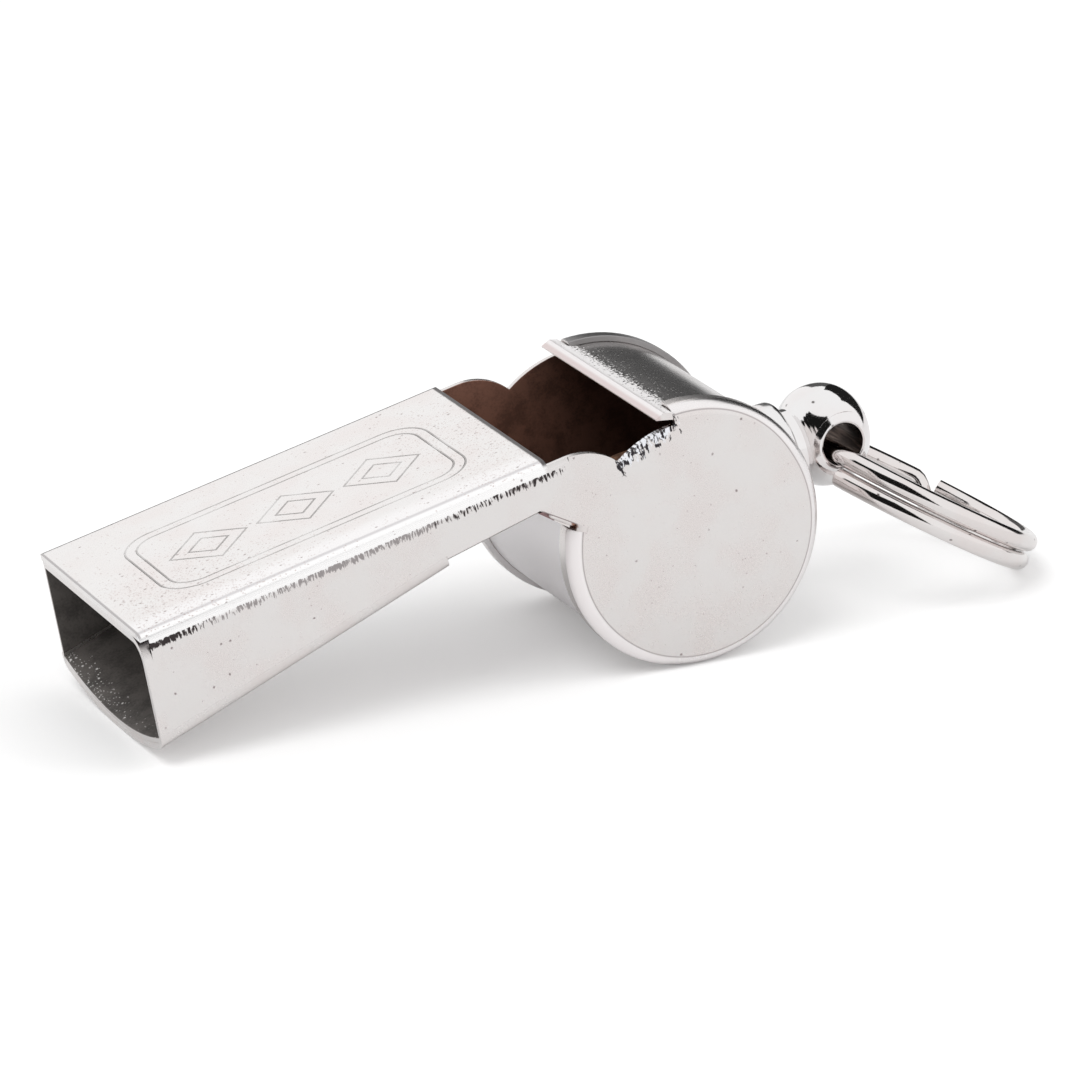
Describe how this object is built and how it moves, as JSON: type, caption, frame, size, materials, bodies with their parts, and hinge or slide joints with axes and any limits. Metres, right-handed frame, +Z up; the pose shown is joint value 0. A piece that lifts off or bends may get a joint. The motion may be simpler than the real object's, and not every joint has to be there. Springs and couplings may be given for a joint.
{
  "type": "pea whistle",
  "caption": "Sheet-metal pea whistle: flat mouthpiece, round barrel with a cut window and a cork pea, and a ball stud that carries a split ring.",
  "frame": {"origin": "on the surface that the whistle lies on, under the middle of its overall length and width", "axes": "+X from the mouth towards the ring, +Y towards the far side, +Z up; the whistle lies on its barrel, on the mouth's lower edge and on the ring's end"},
  "size_m": [0.0705, 0.0192, 0.019],
  "materials": {
    "nickel_plate": "nickel plate, bright with fine pits",
    "polished_nickel": "polished nickel plate",
    "ring_wire": "bright plated steel wire",
    "cork": "dark cork"
  },
  "bodies": {
    "whistle": {"top_plate": "nickel_plate", "near_side_plate": "nickel_plate", "far_side_plate": "nickel_plate", "barrel_band": "nickel_plate", "windway_floor": "nickel_plate", "mouth_shoe": "nickel_plate", "stud_base": "nickel_plate", "ring_stud": "polished_nickel"},
    "ring": {"split_ring": "ring_wire"},
    "pea": {"cork_pea": "cork"}
  },
  "joints": [
    {"name": "ring_swing", "type": "hinge", "parent": "whistle", "child": "ring", "pos_m": [0.0199, 0, 0.01166], "axis": [0, -1, 0], "range_deg": [-78, 175]},
    {"name": "pea_roll", "type": "hinge", "parent": "whistle", "child": "pea", "pos_m": [0.00546, 0, 0.0095], "axis": [0, 1, 0], "continuous": true}
  ]
}
